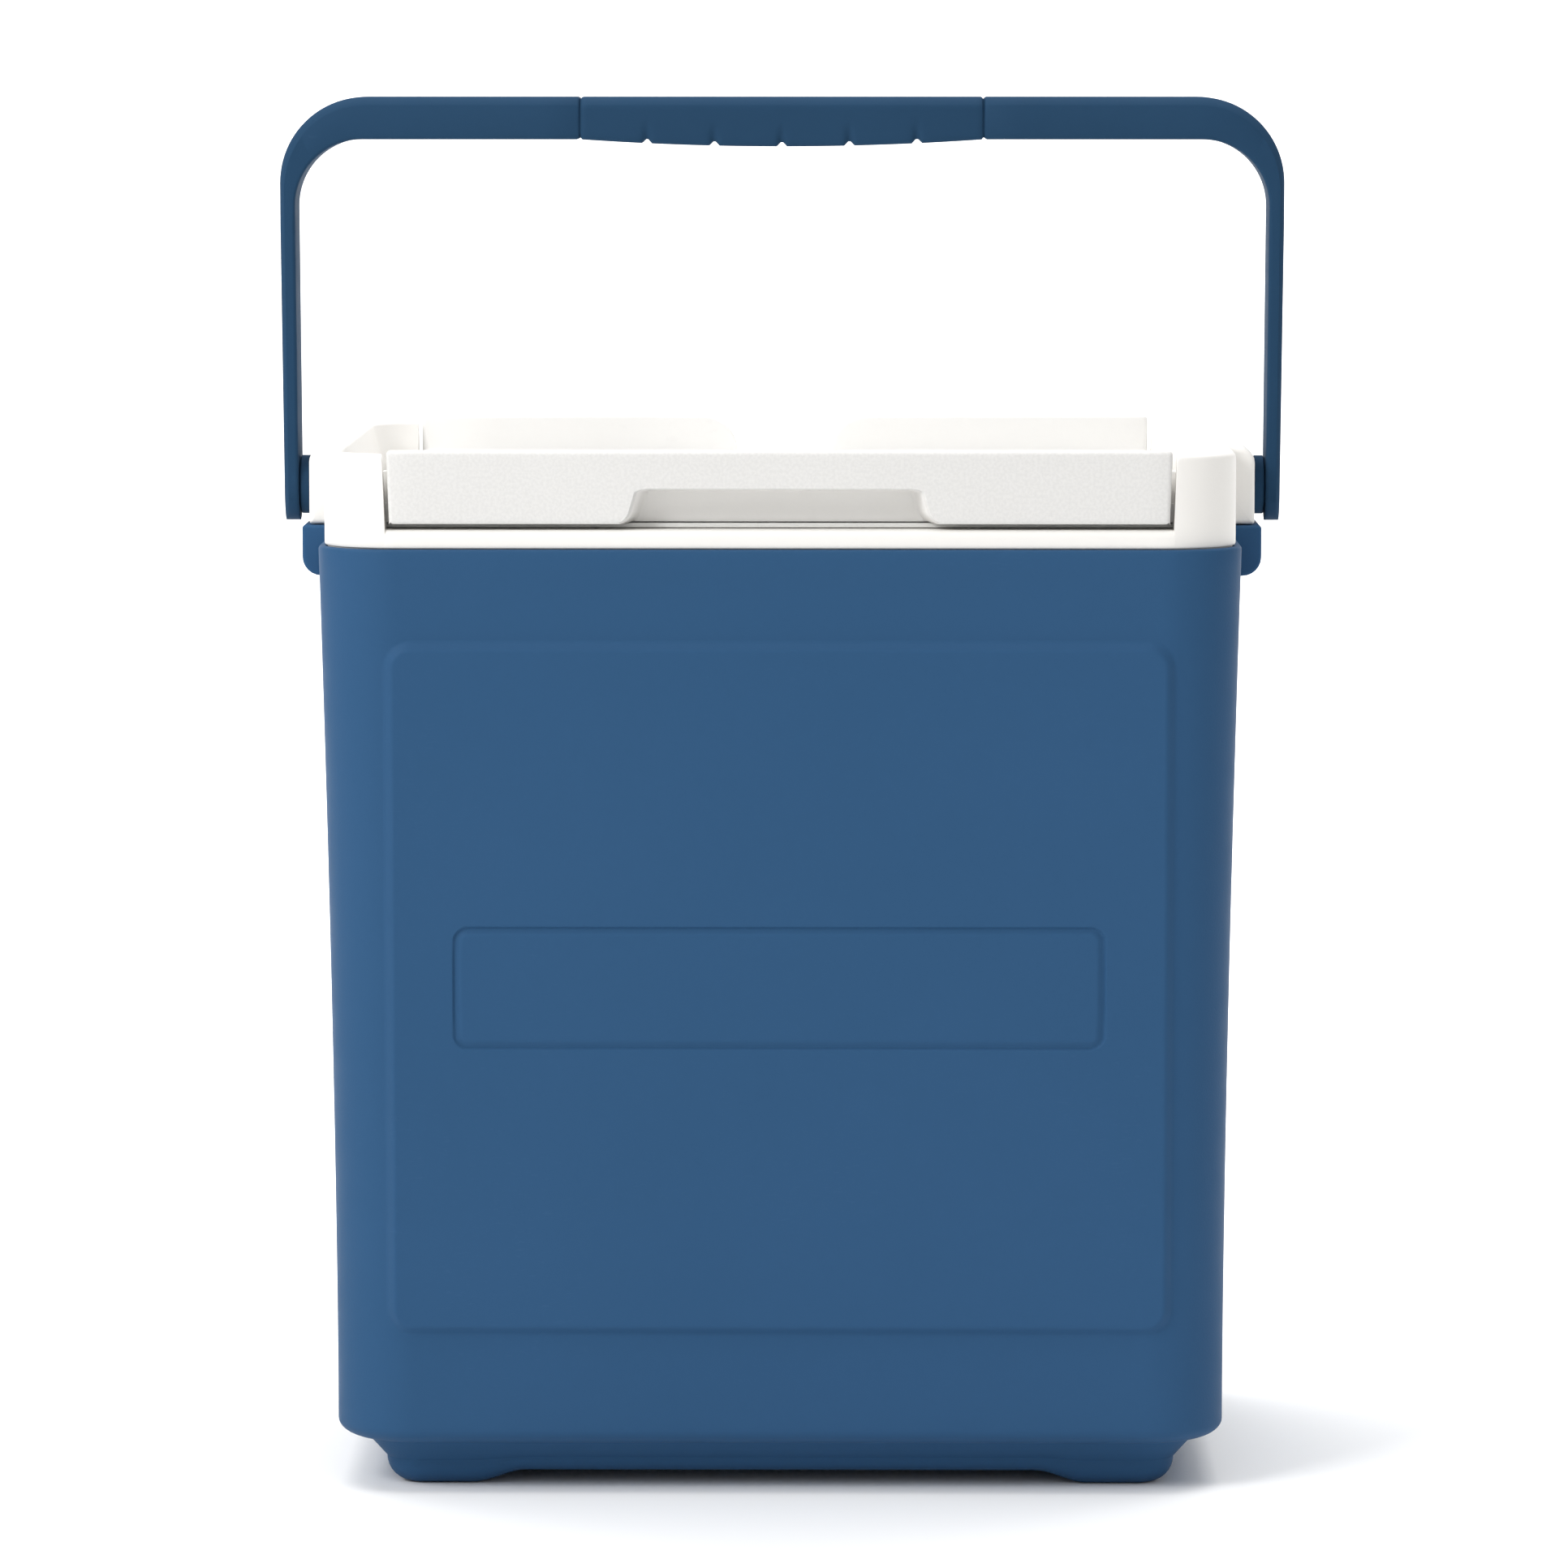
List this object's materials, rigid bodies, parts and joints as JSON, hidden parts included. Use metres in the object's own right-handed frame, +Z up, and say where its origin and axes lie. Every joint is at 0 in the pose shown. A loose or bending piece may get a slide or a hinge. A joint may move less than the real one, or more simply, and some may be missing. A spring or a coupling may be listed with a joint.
{
  "type": "cooler chest",
  "caption": "Insulated picnic cooler chest with a white collar and hinged stacking lid, a blue tapered tub on a foot, and a blue bail handle that swings over the lid.",
  "frame": {"origin": "on the floor under the middle of the chest", "axes": "+X to the right across the width, +Y to the back, where the lid is hinged, +Z up; the front with the finger pocket faces -Y"},
  "size_m": [0.3712, 0.2488, 0.5043],
  "materials": {
    "shell_blue": "satin",
    "handle_blue": "satin",
    "collar_white": "satin",
    "lid_white": "satin",
    "liner_white": "gloss",
    "foam": "matte",
    "pin_steel": "satin"
  },
  "bodies": {
    "tub": {"outer_shell": "shell_blue", "insulation_foam": "foam", "inner_liner": "liner_white", "base_fill_plug": "shell_blue", "top_collar": "collar_white", "hinge_pin_left": "pin_steel", "hinge_pin_right": "pin_steel"},
    "lid": {"lid_cover": "lid_white", "lid_foam": "foam", "lid_inner_panel": "liner_white"},
    "handle": {"handle_bail": "handle_blue", "handle_grip": "handle_blue", "pivot_stud_left": "handle_blue", "pivot_stud_right": "handle_blue"}
  },
  "joints": [
    {"name": "handle_swing", "type": "hinge", "parent": "tub", "child": "handle", "pos_m": [0, 0, 0.3602], "axis": [1, 0, 0], "range_deg": [-95, 95]},
    {"name": "lid_hinge", "type": "hinge", "parent": "tub", "child": "lid", "pos_m": [0, 0.1173, 0.36], "axis": [-1, 0, 0], "range_deg": [0, 43]}
  ]
}
